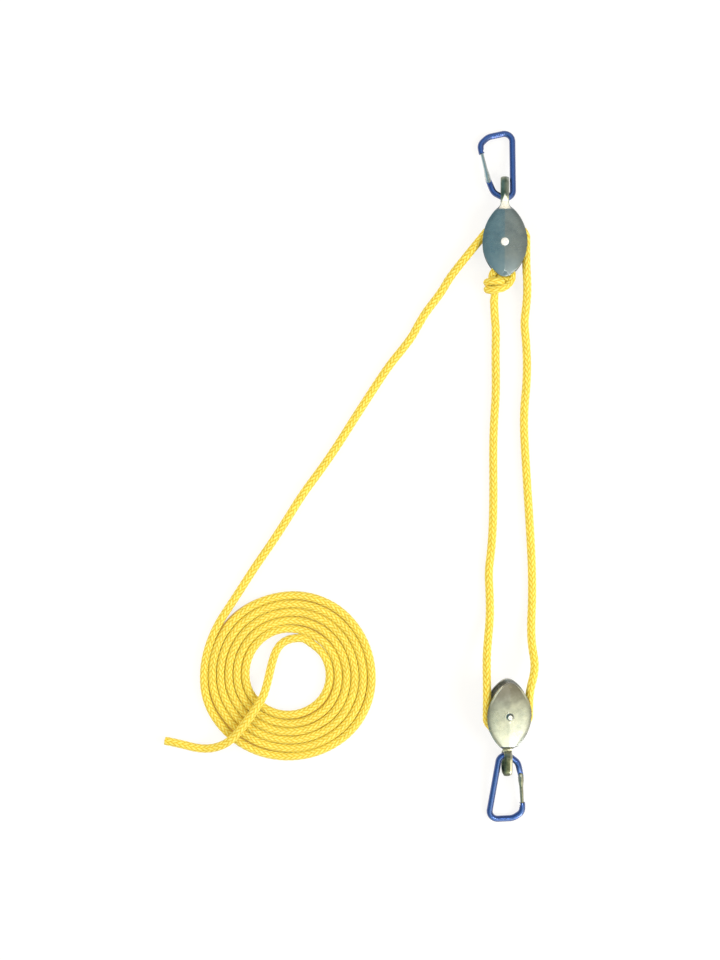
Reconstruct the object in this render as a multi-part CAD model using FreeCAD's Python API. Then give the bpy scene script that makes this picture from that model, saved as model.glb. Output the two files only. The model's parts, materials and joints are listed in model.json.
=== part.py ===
import FreeCAD, Part
import math
import os
from FreeCAD import Placement, Rotation, Vector

# Pulley demonstrator: two single blocks, each on a snap carabiner, and one rope rove between them.
# Everything lies on a table at Z = 0, with +Y from the load end to the anchor end and +Z up.
# Millimetres and degrees.

# Rope
ROPE_D = 7.0
ROPE_R = ROPE_D / 2
ON_TABLE = ROPE_R
BEND_SHARE = 0.45          # share of the shorter run that an arc takes up
SAME_POINT = 1e-3

# Sheave: a grooved wheel on a sleeve
PITCH_R = 18.6             # centre line of the rope in the groove
GROOVE_GAP = 0.3
RIM_R = 17.8
RIM_HALF = 4.9
WEB_HALF = 3.0
WEB_OUT_R = 12.0
HUB_R = 7.0
HUB_HALF = 5.8
DRAFT = 0.5
SLEEVE_R = 4.0
SLEEVE_HALF = 6.24
SHEAVE_BORE_R = 4.06

# Block shell: one strap folded at the eye, pinched at the neck, domed over the sheave
PLATE = 2.4                # at the ridge; the cheek thins towards its rim
INNER_HALF = 6.3           # half of the room between the cheeks at the axle
RIDGE_SHIFT = 9.1          # each side of a cheek curves about an axis this far past the ridge
CHEEK_SWEEP = 7.0          # degrees that a side of a cheek turns about its axis
BOSS_R = 4.7               # flat seat of the rivet head
DOME_R = 200.0
CHEEK_HALF = 19.4
EYE_SIDE_R = 41.0          # side curve of the cheek from the axle to the neck
TAIL_R = 8.0
TAIL_Y = -30.0
SHOULDER_Y = 30.6
DOME_END_Y = 28.6          # crease across the cheek above the neck
CAVITY_DOME_END_Y = 25.0
CAVITY_END_Y = 31.5
NECK_Y = 33.8
NECK_HALF = 2.6
BELOW_MIDDLE = 1.0         # how far the side profiles reach past the mid plane before trimming
STRAP_HALF = 3.4           # half width of the neck
EYE_HALF = 3.6             # half width of the eye's oval section
TIP_R = 4.3                # the eye's far end, seen along the axle
EYE_WALL = 2.4
EYE_INNER = 5.2            # half height of the eye, and the radius of its ends
EYE_START_Y = 36.0
EYE_END_Y = 55.8

# Rivets and pins
AXLE_R = 2.5
AXLE_HEAD_R = 3.6
AXLE_HEAD = 1.3
DIMPLE_R = 1.4
DIMPLE = 0.5
SEAT_GAP = 0.02
BECKET_R = 1.5
BECKET_Y = -27.0

# Carabiner: round bar, bent in one plane; U is across, V runs from the bow to the far end
BAR_R = 2.7
BOW_R = 6.5
SPINE_U = 6.0
BOW_CORNER = (6.0, -4.2)
HEEL_CORNER = (-10.8, 4.6)
HEEL_R = 9.0
CROWN_CORNER = (6.0, 59.8)
CROWN_R = 7.0
BROW_CORNER = (-15.4, 55.0)
BROW_R = 11.0
NOSE_CORNER = (-22.5, 48.2)
NOSE_R = 7.0
HINGE_AT = (-15.3, 15.6)
LATCH_TOWARDS = (-20.6, 39.0)
BAR_STOP = 3.3             # from the hinge pin to the end of the round bar
TANG_R = 2.4
TANG_HALF = 1.1
NOSE_END = 24.8            # distances along the gate from the hinge pin
LATCH_AT = 26.6
GATE_END = 28.4
NOSE_SLOT_END = 29.2
NOSE_SLOT_HALF = 1.75
NOSE_BACK = 1.7
LATCH_ROOM_R = 0.95
LATCH_ROOM_HALF = 2.35
LATCH_PIN_R = 0.6
LATCH_PIN_HALF = 2.15
FORK_R = 2.45
FORK_END = 5.0
FORK_GAP_HALF = 1.3
FORK_CLEAR_R = 2.8
TAPER_END = 10.0
GATE_MID_R = 1.75
GATE_TIP_R = 1.45
GATE_BORE_R = 1.1
GATE_BORE_END = 12.0
HINGE_PIN_R = 0.8
HINGE_PIN_HALF = 2.3
PLUNGER_R = 0.95
PLUNGER_STEM_R = 0.45
PLUNGER_START = 2.5
PLUNGER_HEAD_END = 4.0
PLUNGER_END = 6.5
SPRING_OUT_R = 0.95
SPRING_IN_R = 0.55
RUNNING = 0.03             # radial room of a pin in its hole
THROUGH = 60.0             # cutting tools reach this far, past any piece

# Where the blocks and carabiners lie
UPPER_AXLE_XY = (0.0, 203.9)
LOWER_AXLE_XY = (1.8, -205.6)
UPPER_ROLL = -4.0          # right side raised
LOWER_PITCH = 14.0         # rope end of the lower block raised
LOWER_ROLL = 7.0           # left side raised
LOWER_YAW = 2.0
BOW_Y = 39.3               # the bow in the eye, from the axle
UPPER_BOW_X = 0.7          # the upper carabiner lies against one side of its eye
UPPER_CARABINER_YAW = 0.0
LOWER_BOW_X = 0.0
LOWER_CARABINER_YAW = 170.7

# The rope, in order from the becket to the bare end
WRAP_STEP = 45.0           # angle between the route's points round a sheave
KNOT_LOOP = [
    (-11.0, 167.5, 9.4), (-12.6, 176.2, 10.2), (-5.8, 182.3, 10.2), (5.8, 182.3, 9.8),
    (11.2, 175.8, 9.6), (5.0, 165.0, 9.0), (-6.0, 161.5, 8.4),
]
KNOT_TURNS = [((-9.8, 169.8, 8.5), (0.35, 1.0, 0.15)), ((-9.2, 163.0, 8.3), (-0.3, 1.0, -0.2))]
KNOT_TURN_R = 4.3
KNOT_END = (-9.3, 155.4, 7.4)
KNOT_CORE = 14.5           # standing part inside the turns
LEFT_FALL = [
    (-8.4, 134.0, 4.4), (-8.0, 94.0, 3.5), (-9.4, 44.0, 3.5), (-10.6, -8.0, 3.5),
    (-10.6, -46.0, 3.5), (-14.6, -84.0, 3.5), (-12.8, -122.0, 5.2), (-16.2, -158.0, 15.0),
]
RIGHT_FALL = [
    (24.4, -158.0, 12.5), (22.8, -122.0, 5.0), (24.2, -86.0, 3.5), (22.2, -44.0, 3.5),
    (19.2, -4.0, 3.5), (16.6, 46.0, 3.5), (20.0, 94.0, 3.5), (16.9, 140.0, 4.7),
]
SHEAVE_LEAVE = 19.0        # straight rope beyond each sheave before its first bend
LEAD = [
    (-47.8, 174.6, 5.2), (-83.6, 121.2, 3.5), (-119.6, 70.0, 3.5), (-154.4, 15.6, 3.5),
    (-190.2, -35.4, 3.5),
]
LEAD_RUN_IN = 56.0         # straight rope into the coil
COIL_CENTRE = (-188.0, -172.9)
COIL_START_R = 74.95
COIL_PITCH = 7.2
COIL_START = 150.0
COIL_END = 2216.0
COIL_ARC = 45.0
TAIL_INSET = 1.2           # the tail leaves the innermost turn this much nearer the centre
TAIL_RUN_OUT = 7.4         # straight rope before its first bend
TAIL = [
    (-182.8, -140.2, 3.5), (-189.8, -141.4, 3.5), (-195.7, -145.4, 3.5), (-199.6, -151.7, 3.5),
    (-202.4, -160.3, 3.5), (-204.9, -170.5, 4.6), (-207.6, -182.2, 8.6), (-211.5, -194.1, 11.2),
    (-225.5, -214.8, 11.3), (-239.4, -231.8, 11.4), (-254.1, -239.2, 6.0), (-268.3, -240.2, 3.5),
    (-283.8, -236.0, 3.5), (-297.7, -233.1, 3.5),
]


def spot(pair):
    """A point of the carabiner's plane."""
    return Vector(pair[0], pair[1], 0)


def corner_path(points, radii):
    """Straight runs through the points, with a tangent arc at each inner point."""
    edges = []
    at = points[0]
    for before, corner, after, radius in zip(points, points[1:], points[2:], radii):
        back = (before - corner).normalize()
        on = (after - corner).normalize()
        half_turn = (math.pi - back.getAngle(on)) / 2
        reach = radius * math.tan(half_turn)
        start = corner + back * reach
        end = corner + on * reach
        crest = corner + (back + on).normalize() * (radius / math.cos(half_turn) - radius)
        if (start - at).Length > SAME_POINT:
            edges.append(Part.LineSegment(at, start).toShape())
        edges.append(Part.Arc(start, crest, end).toShape())
        at = end
    if (points[-1] - at).Length > SAME_POINT:
        edges.append(Part.LineSegment(at, points[-1]).toShape())
    return Part.Wire(edges)


def tube(points, radii, radius):
    """A round bar or rope along straight runs and arcs."""
    path = corner_path(points, radii)
    ring = Part.Wire(Part.makeCircle(radius, points[0], points[1] - points[0]))
    return path.makePipeShell([ring], True, False), path


def bend_radii(points):
    """The largest arcs that the runs of a loose rope leave room for."""
    radii = []
    for before, corner, after in zip(points, points[1:], points[2:]):
        shorter = min((corner - before).Length, (after - corner).Length)
        turn = (corner - before).getAngle(after - corner)
        radii.append(BEND_SHARE * shorter / math.tan(turn / 2))
    return radii


def rope(name, points, radii):
    """One stretch of rope, with its length, tightest bend and volume printed."""
    solid, path = tube(points, radii, ROPE_R)
    expected = math.pi * ROPE_R ** 2 * path.Length
    print(f"{name}: length {path.Length:.1f}, radii {[round(r, 1) for r in radii]}, "
          f"volume {solid.Volume / expected:.4f} of section x length")
    return solid


def revolved(profile, angle=360.0):
    """A solid of revolution about local Z from (radius, height) points."""
    face = Part.Face(Part.makePolygon([Vector(r, 0, z) for r, z in profile + profile[:1]]))
    return face.revolve(Vector(), Vector(0, 0, 1), angle)


# The block, in its own frame: axle along Z through the origin, eye towards +Y

def cheek_outline():
    """The shell seen along the axle: pointed oval, neck and strap."""
    eye_centre = CHEEK_HALF - EYE_SIDE_R
    tip_y = TAIL_Y + TAIL_R
    tail_side_r = (CHEEK_HALF ** 2 + tip_y ** 2 - TAIL_R ** 2) / (2 * (CHEEK_HALF - TAIL_R))
    tail_centre = CHEEK_HALF - tail_side_r
    shoulder_x = eye_centre + math.sqrt(EYE_SIDE_R ** 2 - SHOULDER_Y ** 2)
    half_y = SHOULDER_Y / 2
    half_x = eye_centre + math.sqrt(EYE_SIDE_R ** 2 - half_y ** 2)
    tip = Vector(0, tip_y, 0)
    outward = (tip - Vector(tail_centre, 0, 0)).normalize()
    joins = tip + outward * TAIL_R
    middle = Vector(tail_centre, 0, 0) + (outward + Vector(1, 0, 0)).normalize() * tail_side_r
    side = [
        Part.Arc(Vector(0, TAIL_Y, 0), tip + (outward + Vector(0, -1, 0)).normalize() * TAIL_R, joins),
        Part.Arc(joins, middle, Vector(CHEEK_HALF, 0, 0)),
        Part.Arc(Vector(CHEEK_HALF, 0, 0), Vector(half_x, half_y, 0), Vector(shoulder_x, SHOULDER_Y, 0)),
    ]
    neck = Part.BezierCurve()
    neck.setPoles([
        Vector(shoulder_x, SHOULDER_Y, 0), Vector(shoulder_x - 2.2, SHOULDER_Y + 2.6, 0),
        Vector(STRAP_HALF, NECK_Y + 0.8, 0), Vector(STRAP_HALF, NECK_Y + 4.0, 0),
    ])
    side.append(neck)
    strap_end = EYE_START_Y + EYE_INNER
    side.append(Part.LineSegment(Vector(STRAP_HALF, NECK_Y + 4.0, 0), Vector(STRAP_HALF, strap_end, 0)))
    side.append(Part.LineSegment(Vector(STRAP_HALF, strap_end, 0), Vector(0, strap_end, 0)))
    right = [curve.toShape() for curve in side]
    left = [edge.mirror(Vector(), Vector(1, 0, 0)) for edge in right]
    return Part.Face(Part.Wire(Part.__sortEdges__(right + left)))


def on_dome(y, thick):
    """Point in the Y-Z plane on the inside of a cheek, or thick millimetres outside it."""
    return Vector(0, y, INNER_HALF - DOME_R + math.sqrt((DOME_R + thick) ** 2 - y ** 2))


def side_curve(*poles):
    """Bezier curve in the Y-Z plane."""
    curve = Part.BezierCurve()
    curve.setPoles([Vector(0, y, z) for y, z in poles])
    return curve


def side_face(curves):
    """Face in the Y-Z plane below the curves, closed a little under the mid plane."""
    start = curves[0].StartPoint
    end = curves[-1].EndPoint
    start_below = Vector(0, start.y, -BELOW_MIDDLE)
    end_below = Vector(0, end.y, -BELOW_MIDDLE)
    closing = [Part.LineSegment(end, end_below), Part.LineSegment(end_below, start_below),
               Part.LineSegment(start_below, start)]
    return Part.Face(Part.Wire([curve.toShape() for curve in curves + closing]))


def outside_profile():
    """Outside of one cheek and of half of the neck, seen from the side."""
    tail = TAIL_Y - 1
    dome_end = on_dome(DOME_END_Y, PLATE)
    crest = EYE_INNER + 0.75 * EYE_WALL
    return side_face([
        Part.Arc(on_dome(tail, PLATE), on_dome(0, PLATE), dome_end).toBSpline(),
        side_curve((dome_end.y, dome_end.z), (30.4, 4.8), (31.4, NECK_HALF), (NECK_Y, NECK_HALF)),
        side_curve((NECK_Y, NECK_HALF), (35.6, NECK_HALF), (36.6, crest), (EYE_START_Y + EYE_INNER, crest)),
    ])


def cavity_profile():
    """Room between one cheek and the mid plane, seen from the side."""
    tail = TAIL_Y - 1
    dome_end = on_dome(CAVITY_DOME_END_Y, 0)
    return side_face([
        Part.Arc(on_dome(tail, 0), on_dome(0, 0), dome_end).toBSpline(),
        side_curve((dome_end.y, dome_end.z), (27.6, 4.3), (28.6, 1.6), (CAVITY_END_Y, 0.0)),
    ])


def eye_ring():
    """Long eye round the X direction, of flat oval section, with a rounded far end."""
    crest_r = EYE_INNER + EYE_WALL / 2
    start_centre = EYE_START_Y + EYE_INNER
    end_centre = EYE_END_Y - EYE_INNER
    section = Part.Ellipse(Vector(0, start_centre, crest_r), EYE_HALF, EYE_WALL / 2)
    section.rotate(Placement(section.Center, Vector(1, 0, 0), 90))
    near = Part.Face(Part.Wire(section.toShape()))
    far = near.copy()
    far.translate(Vector(0, end_centre - start_centre, 0))
    top = near.extrude(Vector(0, end_centre - start_centre, 0))
    bottom = top.mirror(Vector(), Vector(0, 0, 1))
    near_end = near.revolve(Vector(0, start_centre, 0), Vector(1, 0, 0), 180)
    far_end = far.revolve(Vector(0, end_centre, 0), Vector(1, 0, 0), -180)
    ring = top.fuse([bottom, near_end, far_end])
    tip = EYE_END_Y + EYE_WALL
    corners = Part.makeBox(4 * TIP_R, 2 * TIP_R, 4 * TIP_R, Vector(-2 * TIP_R, tip - TIP_R, -2 * TIP_R))
    round_end = Part.makeCylinder(TIP_R, 4 * TIP_R, Vector(0, tip - TIP_R, -2 * TIP_R))
    return ring.cut(corners.cut(round_end))


def eye_hole():
    """The long hole through the neck and the eye."""
    start_centre = EYE_START_Y + EYE_INNER
    length = EYE_END_Y - EYE_INNER - start_centre
    width = 4 * STRAP_HALF
    hole = Part.makeBox(width, length, 2 * EYE_INNER, Vector(-width / 2, start_centre, -EYE_INNER))
    for y in (start_centre, start_centre + length):
        hole = hole.fuse(Part.makeCylinder(EYE_INNER, width, Vector(-width / 2, y, 0), Vector(1, 0, 0)))
    return hole


def block_shell():
    """Both cheeks, the neck and the eye as one piece, each cheek with a low ridge from end to end."""
    dome_axis = INNER_HALF - DOME_R
    right = outside_profile().revolve(Vector(-RIDGE_SHIFT, 0, dome_axis), Vector(0, 1, 0), CHEEK_SWEEP)
    cavity = cavity_profile()
    cavity.rotate(Vector(0, 0, dome_axis), Vector(0, 1, 0), -CHEEK_SWEEP)
    cavity = cavity.revolve(Vector(0, 0, dome_axis), Vector(0, 1, 0), 2 * CHEEK_SWEEP)
    seat = Part.makeCylinder(BOSS_R, PLATE, Vector(0, 0, INNER_HALF))
    left = right.mirror(Vector(), Vector(1, 0, 0))
    room = Part.makeBox(2 * THROUGH, 2 * THROUGH, THROUGH, Vector(-THROUGH, -THROUGH, 0))
    half = right.fuse([left, seat]).cut(cavity).common(room)
    half = half.common(cheek_outline().extrude(Vector(0, 0, THROUGH)))
    shell = half.fuse(half.mirror(Vector(), Vector(0, 0, 1)))
    shell = shell.fuse(eye_ring()).cut(eye_hole())
    for radius, y in ((AXLE_R, 0), (BECKET_R, BECKET_Y)):
        shell = shell.cut(Part.makeCylinder(radius + RUNNING, 2 * THROUGH, Vector(0, y, -THROUGH)))
    return shell.Solids[0]


def sheave():
    """Grooved wheel with a hub, a thinner web and a rim."""
    lip = math.sqrt((ROPE_R + GROOVE_GAP) ** 2 - (PITCH_R - RIM_R) ** 2)
    groove_r = ROPE_R + GROOVE_GAP
    half = [
        (SHEAVE_BORE_R, HUB_HALF), (HUB_R, HUB_HALF), (HUB_R + DRAFT, WEB_HALF),
        (WEB_OUT_R, WEB_HALF), (WEB_OUT_R + DRAFT, RIM_HALF), (RIM_R, RIM_HALF), (RIM_R, lip),
    ]
    right = [Vector(r, 0, z) for r, z in half]
    left = [Vector(r, 0, -z) for r, z in reversed(half)]
    edges = [Part.LineSegment(a, b).toShape() for a, b in zip(right, right[1:])]
    edges.append(Part.Arc(right[-1], Vector(PITCH_R - groove_r, 0, 0), left[0]).toShape())
    edges += [Part.LineSegment(a, b).toShape() for a, b in zip(left, left[1:])]
    edges.append(Part.LineSegment(left[-1], right[0]).toShape())
    return Part.Face(Part.Wire(edges)).revolve(Vector(), Vector(0, 0, 1), 360)


def axle_rivet():
    """Shank with two domed heads, each with a set-punch dimple."""
    under = INNER_HALF + PLATE + SEAT_GAP
    shank = Part.makeCylinder(AXLE_R, 2 * under, Vector(0, 0, -under))
    crown_r = (AXLE_HEAD_R ** 2 + AXLE_HEAD ** 2) / (2 * AXLE_HEAD)
    ball = Part.makeSphere(crown_r, Vector(0, 0, under + AXLE_HEAD - crown_r))
    head = ball.common(Part.makeCylinder(AXLE_HEAD_R, AXLE_HEAD, Vector(0, 0, under)))
    punch_r = (DIMPLE_R ** 2 + DIMPLE ** 2) / (2 * DIMPLE)
    head = head.cut(Part.makeSphere(punch_r, Vector(0, 0, under + AXLE_HEAD - DIMPLE + punch_r)))
    return shank.fuse([head, head.mirror(Vector(), Vector(0, 0, 1))]).Solids[0]


def axle_sleeve():
    """Spacer tube between the cheeks that the sheave turns on."""
    outer = Part.makeCylinder(SLEEVE_R, 2 * SLEEVE_HALF, Vector(0, 0, -SLEEVE_HALF))
    return outer.cut(Part.makeCylinder(AXLE_R + RUNNING, 2 * SLEEVE_HALF, Vector(0, 0, -SLEEVE_HALF)))


def becket_pin():
    """Flush pin across the tail that the rope is tied round."""
    half = INNER_HALF - DOME_R + math.sqrt((DOME_R + PLATE) ** 2 - BECKET_Y ** 2) - SEAT_GAP
    return Part.makeCylinder(BECKET_R, 2 * half, Vector(0, BECKET_Y, -half))


# The carabiner, in its own frame: plane U-V is X-Y, with the bow's lowest point at the origin

def gate_direction():
    """Unit vector along the closed gate, from the hinge pin to the nose."""
    return (spot(LATCH_TOWARDS) - spot(HINGE_AT)).normalize()


def along_gate(distance):
    """Point on the gate's centre line."""
    return spot(HINGE_AT) + gate_direction() * distance


def gate_frame():
    """Placement that puts Z along the gate and Y along the carabiner's normal."""
    along = gate_direction()
    side = Vector(0, 0, 1).cross(along)
    turn = Rotation(side, Vector(0, 0, 1), along, "ZXY")
    return Placement(spot(HINGE_AT), turn)


def bar_points():
    """Corner points of the bar's centre line, from the hinge round to the nose."""
    heel = spot(HEEL_CORNER)
    start = spot(HINGE_AT) + (heel - spot(HINGE_AT)).normalize() * BAR_STOP
    return [start, heel, spot(BOW_CORNER), spot(CROWN_CORNER), spot(BROW_CORNER),
            spot(NOSE_CORNER), along_gate(NOSE_END)]


def carabiner_body():
    """Bent bar with a flat tang for the gate's fork and a slotted nose with a latch recess."""
    points = bar_points()
    bar, path = tube(points, [HEEL_R, BOW_R, CROWN_R, BROW_R, NOSE_R], BAR_R)
    hinge = spot(HINGE_AT)
    back = (points[1] - hinge).normalize()
    tang = Part.makeCylinder(TANG_R, 2 * TANG_HALF, hinge - Vector(0, 0, TANG_HALF))
    strip = Part.makeBox(BAR_STOP + 3, 2 * TANG_R, 2 * TANG_HALF, Vector(0, -TANG_R, -TANG_HALF))
    strip.Placement = Placement(hinge, Rotation(Vector(1, 0, 0), back)).multiply(strip.Placement)
    body = bar.fuse([tang, strip])
    body = body.cut(Part.makeCylinder(HINGE_PIN_R + RUNNING, 2 * THROUGH, hinge - Vector(0, 0, THROUGH)))
    frame = gate_frame()
    inner = 6.0
    slot = Part.makeBox(inner + NOSE_BACK, 2 * NOSE_SLOT_HALF, NOSE_SLOT_END - NOSE_END + 1,
                        Vector(-inner, -NOSE_SLOT_HALF, NOSE_END - 1))
    room = Part.makeCylinder(LATCH_ROOM_R, 2 * LATCH_ROOM_HALF,
                             Vector(0, -LATCH_ROOM_HALF, LATCH_AT), Vector(0, 1, 0))
    way = Part.makeBox(inner, 2 * LATCH_ROOM_HALF, 2 * LATCH_ROOM_R,
                       Vector(-inner, -LATCH_ROOM_HALF, LATCH_AT - LATCH_ROOM_R))
    for tool in (slot, room, way):
        body = body.cut(tool.transformGeometry(frame.toMatrix()))
    return body.removeSplitter().Solids[0], path


def gate():
    """Turned gate: fork at the hinge, taper, slim rod and round tip, bored for the spring."""
    tip = GATE_TIP_R * 0.6
    profile = [
        (0, -FORK_R), (FORK_R, -FORK_R), (FORK_R, FORK_END), (GATE_MID_R, TAPER_END),
        (GATE_TIP_R, GATE_END - tip), (GATE_TIP_R - tip, GATE_END), (0, GATE_END),
    ]
    solid = revolved(profile)
    ear = Part.makeCylinder(FORK_R, 2 * THROUGH, Vector(0, -THROUGH, 0), Vector(0, 1, 0))
    ear = ear.fuse(Part.makeBox(2 * THROUGH, 2 * THROUGH, THROUGH, Vector(-THROUGH, -THROUGH, 0)))
    solid = solid.common(ear)
    gap = Part.makeCylinder(FORK_CLEAR_R, 2 * FORK_GAP_HALF, Vector(0, -FORK_GAP_HALF, 0), Vector(0, 1, 0))
    solid = solid.cut(gap)
    solid = solid.cut(Part.makeCylinder(GATE_BORE_R, GATE_BORE_END, Vector()))
    for radius, at in ((HINGE_PIN_R, 0), (LATCH_PIN_R, LATCH_AT)):
        hole = Part.makeCylinder(radius + RUNNING, 2 * THROUGH, Vector(0, -THROUGH, at), Vector(0, 1, 0))
        solid = solid.cut(hole)
    return solid.Solids[0]


def cross_pin(radius, half, at):
    """Round pin along the carabiner's normal."""
    return Part.makeCylinder(radius, 2 * half, Vector(0, -half, at), Vector(0, 1, 0))


def gate_plunger():
    """Headed plunger that presses on the tang."""
    head = Part.makeCylinder(PLUNGER_R, PLUNGER_HEAD_END - PLUNGER_START, Vector(0, 0, PLUNGER_START))
    stem = Part.makeCylinder(PLUNGER_STEM_R, PLUNGER_END - PLUNGER_HEAD_END, Vector(0, 0, PLUNGER_HEAD_END))
    return head.fuse(stem).Solids[0]


def gate_spring():
    """Close-wound compression spring in the gate's bore, by its outer shape."""
    length = GATE_BORE_END - PLUNGER_HEAD_END
    outer = Part.makeCylinder(SPRING_OUT_R, length, Vector(0, 0, PLUNGER_HEAD_END))
    return outer.cut(Part.makeCylinder(SPRING_IN_R, length, Vector(0, 0, PLUNGER_HEAD_END)))


# Where things lie

def lower_rotation():
    """The lower block turned end for end, then pitched, rolled and yawed as it lies."""
    yaw = Rotation(Vector(0, 0, 1), LOWER_YAW)
    roll = Rotation(Vector(0, 1, 0), LOWER_ROLL)
    pitch = Rotation(Vector(1, 0, 0), LOWER_PITCH)
    end_for_end = Rotation(Vector(0, 0, 1), 180)
    return yaw * roll * pitch * end_for_end


def block_placements(shell, rivet):
    """Frames of the two blocks, each just touching the table."""
    upper_rotation = Rotation(Vector(0, 1, 0), UPPER_ROLL)
    places = {}
    for name, (x, y), rotation in (("upper", UPPER_AXLE_XY, upper_rotation),
                                   ("lower", LOWER_AXLE_XY, lower_rotation())):
        trial = Part.makeCompound([shell, rivet])
        trial.Placement = Placement(Vector(), rotation)
        lift = -trial.optimalBoundingBox().ZMin
        places[name] = Placement(Vector(x, y, lift), rotation)
    return places


def carabiner_placement(block, bow_x, yaw, path):
    """The bow in the block's eye and the far end resting on the table."""
    bow = block.multVec(Vector(bow_x, BOW_Y, 0))
    far = path.BoundBox.YMax
    droop = math.degrees(math.asin((bow.z - BAR_R) / far))
    turn = Rotation(Vector(0, 0, 1), yaw) * Rotation(Vector(1, 0, 0), -droop)
    bow_bottom = Vector(SPINE_U - BOW_R, 0, 0)
    return Placement(bow - turn.multVec(bow_bottom), turn)


def wrap(block, start, end):
    """Route points round a sheave, from one tangent angle to the other."""
    sense = 1 if end > start else -1
    count = max(1, round(abs(end - start) / WRAP_STEP))
    step = sense * abs(end - start) / count
    out = PITCH_R / math.cos(math.radians(step / 2))
    points = []
    for i in range(count):
        angle = math.radians(start + step * (i + 0.5))
        points.append(block.multVec(Vector(out * math.cos(angle), out * math.sin(angle), 0)))
    return points


def sheave_point(block, angle, beyond=0.0):
    """Where the rope's centre line meets the sheave, or a point further along its tangent there."""
    turned = math.radians(angle)
    x = PITCH_R * math.cos(turned) - beyond * math.sin(turned)
    y = PITCH_R * math.sin(turned) + beyond * math.cos(turned)
    return block.multVec(Vector(x, y, 0))


def lead_angle(block):
    """Angle on the upper sheave where the line to the lead's first point leaves it."""
    away = Vector(*LEAD[0]) - block.Base
    reach = math.hypot(away.x, away.y)
    return math.degrees(math.atan2(away.y, away.x) - math.acos(PITCH_R / reach)) % 360


def coil_radius(angle):
    """Centre line of the spiral at an angle counted on from its outer start."""
    return COIL_START_R - COIL_PITCH * (angle - COIL_START) / 360


def coil_point(angle, offset=0.0, z=0.0):
    """Point beside the spiral's centre line."""
    radius = coil_radius(angle) + offset
    turned = math.radians(angle)
    return Vector(COIL_CENTRE[0] + radius * math.cos(turned), COIL_CENTRE[1] + radius * math.sin(turned), z)


def coil_heading(angle):
    """Unit vector along the rope as it runs round the coil."""
    turned = math.radians(angle + 90)
    return Vector(math.cos(turned), math.sin(turned), 0)


def spiral_edges(start, end, offset):
    """Arcs along the spiral."""
    count = round((end - start) / COIL_ARC)
    step = (end - start) / count
    edges = []
    for i in range(count):
        a = start + i * step
        edges.append(Part.Arc(coil_point(a, offset), coil_point(a + step / 2, offset),
                              coil_point(a + step, offset)).toShape())
    return edges


def coil_disc():
    """Outer shape of the flat coil: one spiral step outside and one inside."""
    faces = []
    for first, offset in ((COIL_START, ROPE_R), (COIL_END - 360, -ROPE_R)):
        edges = spiral_edges(first, first + 360, offset)
        step = Part.LineSegment(coil_point(first + 360, offset), coil_point(first, offset))
        faces.append(Part.Face(Part.Wire(edges + [step.toShape()])))
    return faces[0].cut(faces[1]).Faces[0].extrude(Vector(0, 0, ROPE_D))


def rope_knot():
    """The knot below the upper block: a loop round the becket pin and two turns."""
    points = [Vector(*p) for p in KNOT_LOOP]
    loop = rope("knot loop", points, bend_radii(points))
    turns = [Part.makeTorus(KNOT_TURN_R, ROPE_R, Vector(*at), Vector(*axis)) for at, axis in KNOT_TURNS]
    end = Vector(*KNOT_END)
    core = Part.makeCylinder(ROPE_R, KNOT_CORE, end, end - Vector(*LEFT_FALL[0]))
    return loop.fuse(turns + [core]).Solids[0]


def rope_nodes(upper, lower):
    """Every stretch of the rope, in order."""
    left_on = sheave_point(lower, 0)
    right_on = sheave_point(lower, 180)
    left = [Vector(*KNOT_END)] + [Vector(*p) for p in LEFT_FALL]
    left += [sheave_point(lower, 0, -SHEAVE_LEAVE), left_on]
    right = [right_on, sheave_point(lower, 180, SHEAVE_LEAVE)] + [Vector(*p) for p in RIGHT_FALL]
    right += [sheave_point(upper, 0, -SHEAVE_LEAVE), sheave_point(upper, 0)]
    turn = wrap(lower, 0, 180)
    leave = lead_angle(upper)
    over = wrap(upper, 0, leave)
    coil_on = coil_point(COIL_START, 0, ON_TABLE)
    coil_off = coil_point(COIL_END, -TAIL_INSET, ON_TABLE)
    lead = [sheave_point(upper, leave, SHEAVE_LEAVE)] + [Vector(*p) for p in LEAD]
    lead += [coil_on - coil_heading(COIL_START) * LEAD_RUN_IN, coil_on]
    lead_points = [sheave_point(upper, 0)] + over + lead
    lead_radii = bend_radii(lead_points)
    lead_radii[:len(over)] = [PITCH_R] * len(over)
    tail = [coil_off, coil_off + coil_heading(COIL_END) * TAIL_RUN_OUT] + [Vector(*p) for p in TAIL]
    return {
        "rope_knot": rope_knot(),
        "rope_left_fall": rope("left fall", left, bend_radii(left)),
        "rope_lower_turn": rope("lower turn", [left_on] + turn + [right_on], [PITCH_R] * len(turn)),
        "rope_right_fall": rope("right fall", right, bend_radii(right)),
        "rope_lead": rope("lead", lead_points, lead_radii),
        "rope_coil": coil_disc(),
        "rope_tail": rope("tail", tail, bend_radii(tail)),
    }


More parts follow.
